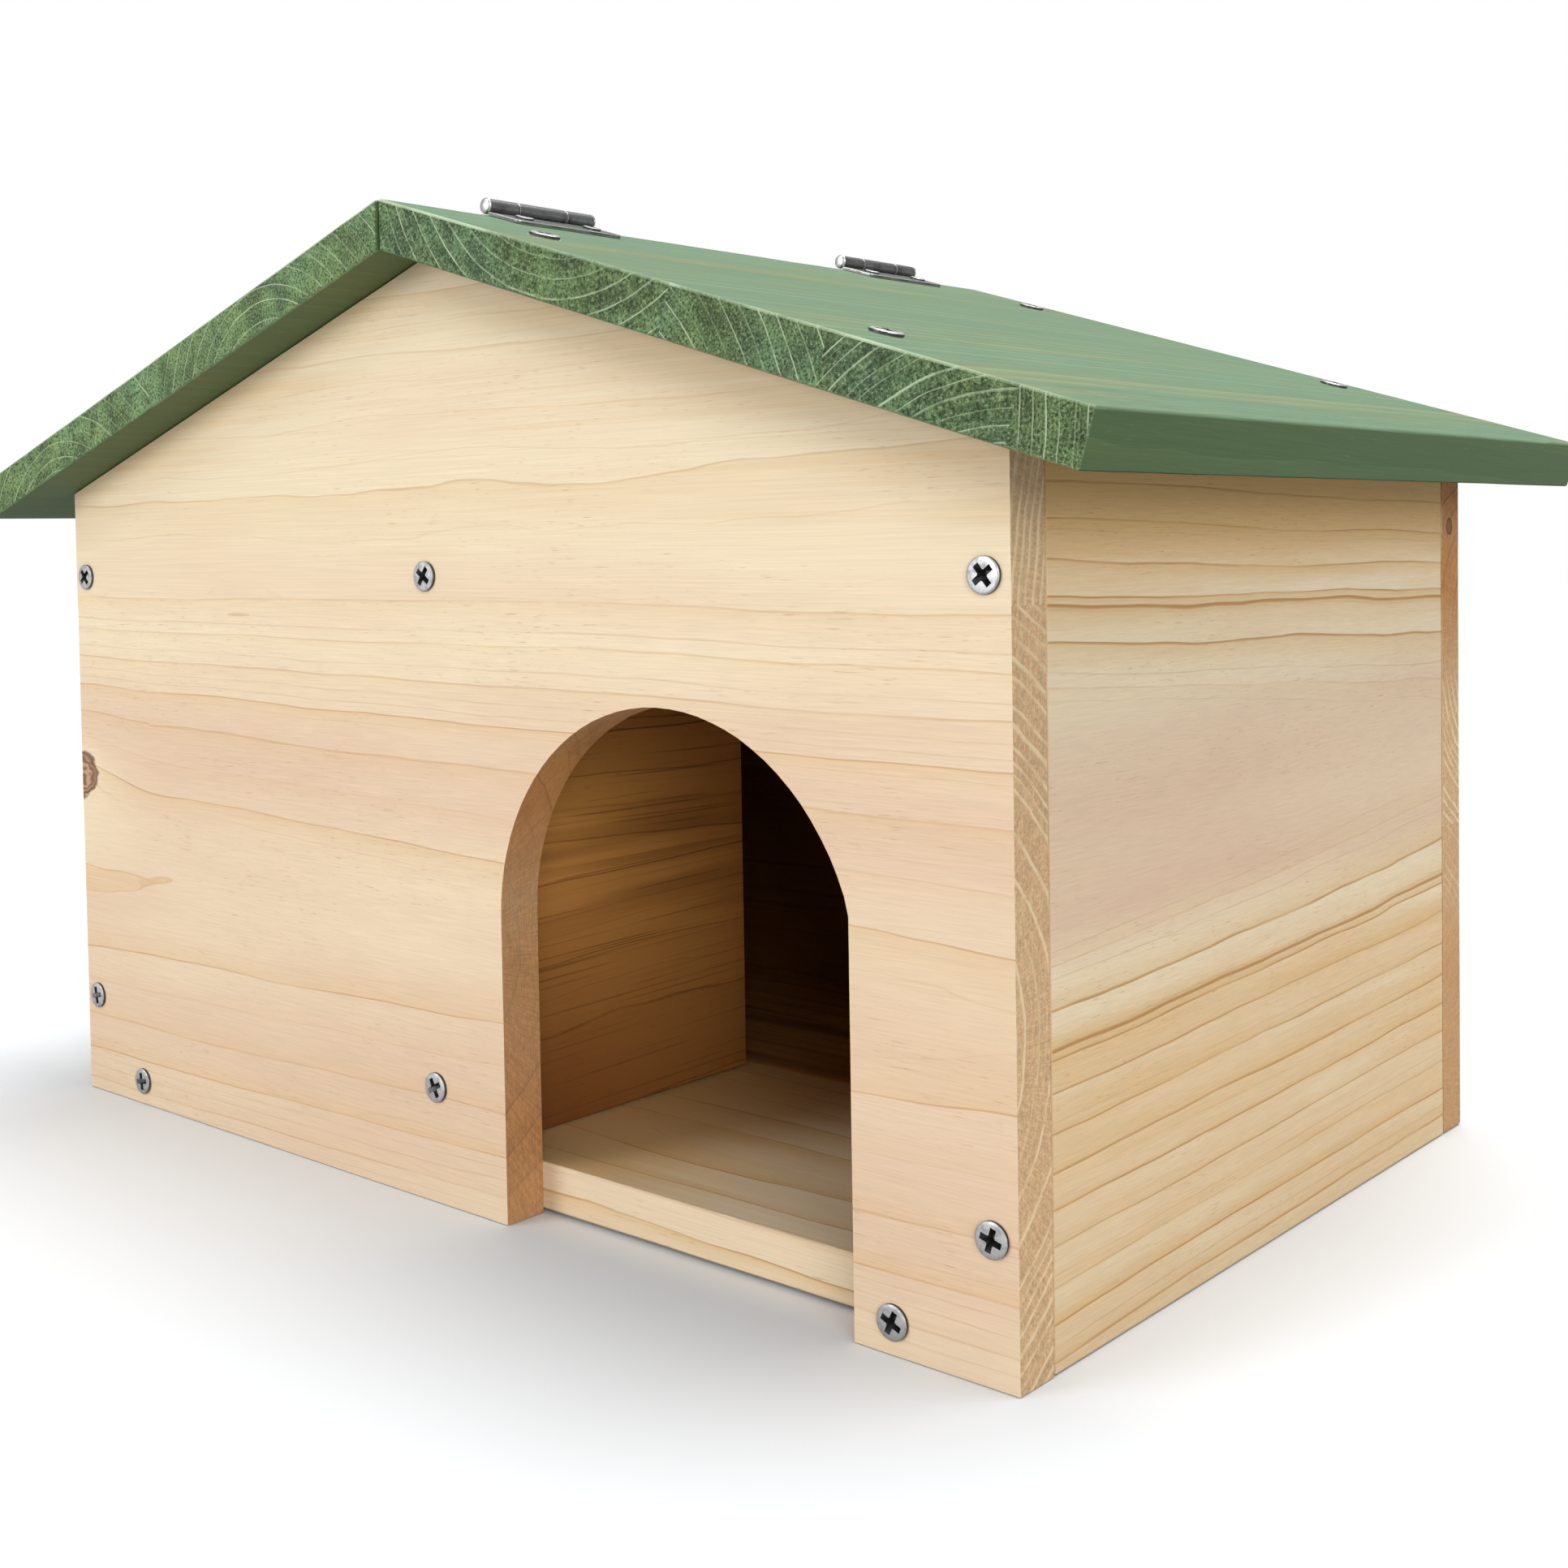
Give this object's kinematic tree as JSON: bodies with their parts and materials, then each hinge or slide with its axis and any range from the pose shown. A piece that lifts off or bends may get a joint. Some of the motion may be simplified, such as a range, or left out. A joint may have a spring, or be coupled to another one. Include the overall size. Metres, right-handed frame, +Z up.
{
  "type": "hedgehog house",
  "caption": "Gabled wooden hedgehog house with an arched doorway, an inner partition that screens the nest chamber, and a green pitched roof with one slope hinged as a lid.",
  "frame": {"origin": "on the ground under the middle of the house", "axes": "+X to the right along the front, the longest extent; -Y the way the doorway faces; +Z up"},
  "size_m": [0.4298, 0.274, 0.2761],
  "materials": {
    "natural_wood": "planed, untreated",
    "green_stained_wood": "planed, green stain, matt",
    "hinge_steel": "bright zinc",
    "screw_steel": "bright zinc"
  },
  "bodies": {
    "house": {"front_panel": "natural_wood", "back_panel": "natural_wood", "left_wall": "natural_wood", "right_wall": "natural_wood", "floor_board": "natural_wood", "partition": "natural_wood", "fixed_roof_panel": "green_stained_wood", "front_hinge_fixed_leaf": "hinge_steel", "front_hinge_pin": "hinge_steel", "rear_hinge_fixed_leaf": "hinge_steel", "rear_hinge_pin": "hinge_steel", "front_left_wall_screws": "screw_steel", "front_right_wall_screws": "screw_steel", "front_partition_screws": "screw_steel", "front_floor_screws": "screw_steel", "back_left_wall_screws": "screw_steel", "back_right_wall_screws": "screw_steel", "back_floor_screws": "screw_steel", "front_roof_screws": "screw_steel", "back_roof_screws": "screw_steel", "front_hinge_fixed_screws": "screw_steel", "rear_hinge_fixed_screws": "screw_steel"},
    "lid": {"lid_panel": "green_stained_wood", "front_hinge_lid_leaf": "hinge_steel", "rear_hinge_lid_leaf": "hinge_steel", "front_hinge_lid_screws": "screw_steel", "rear_hinge_lid_screws": "screw_steel"}
  },
  "joints": [
    {"name": "lid_hinge", "type": "hinge", "parent": "house", "child": "lid", "pos_m": [0, 0, 0.27403], "axis": [0, 1, 0], "range_deg": [0, 210]}
  ]
}
